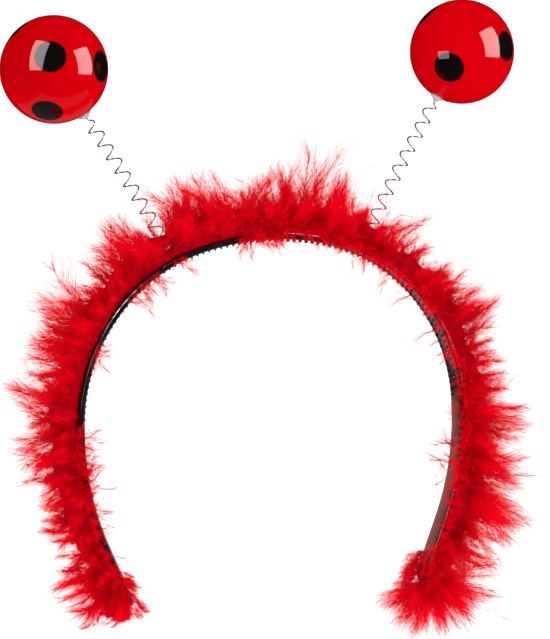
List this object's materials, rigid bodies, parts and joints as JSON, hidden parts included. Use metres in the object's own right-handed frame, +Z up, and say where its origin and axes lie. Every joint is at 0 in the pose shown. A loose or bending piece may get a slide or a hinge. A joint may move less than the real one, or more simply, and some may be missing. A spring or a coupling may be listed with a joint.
{
  "type": "head bopper",
  "caption": "Ladybird head bopper: toothed plastic hair band with a red feather trim and two glossy black-dotted balls that wobble on wire springs",
  "frame": {"origin": "on the inside face of the band at its crown, where it sits on the head", "axes": "+Z up, +X to the right seen from the front, the front faces -Y"},
  "size_m": [0.194, 0.0406, 0.2329],
  "materials": {
    "band_plastic": "glossy black injection-moulded plastic",
    "feathers": "red dyed marabou down, soft and matt",
    "spring_wire": "bright drawn steel wire",
    "ball_lacquer": "high-gloss red lacquer with painted black dots",
    "hot_glue": "clear hot-melt glue, slightly cloudy"
  },
  "bodies": {
    "band": {"headband": "band_plastic", "feather_trim": "feathers", "spring_left": "spring_wire", "spring_right": "spring_wire"},
    "bopper_left": {"ball_left": "ball_lacquer", "glue_left": "hot_glue"},
    "bopper_right": {"ball_right": "ball_lacquer", "glue_right": "hot_glue"}
  },
  "joints": [
    {"name": "nod_left", "type": "hinge", "parent": "band", "child": "bopper_left", "pos_m": [-0.0505, 0, 0.0216], "axis": [0.8443, 0, 0.5358], "range_deg": [-40, 40], "stiffness_Nm_per_rad": 0.006, "deforming": ["spring_left"]},
    {"name": "nod_right", "type": "hinge", "parent": "band", "child": "bopper_right", "pos_m": [0.0507, 0, 0.0222], "axis": [0.8499, 0, -0.527], "range_deg": [-40, 40], "stiffness_Nm_per_rad": 0.006, "deforming": ["spring_right"]}
  ]
}
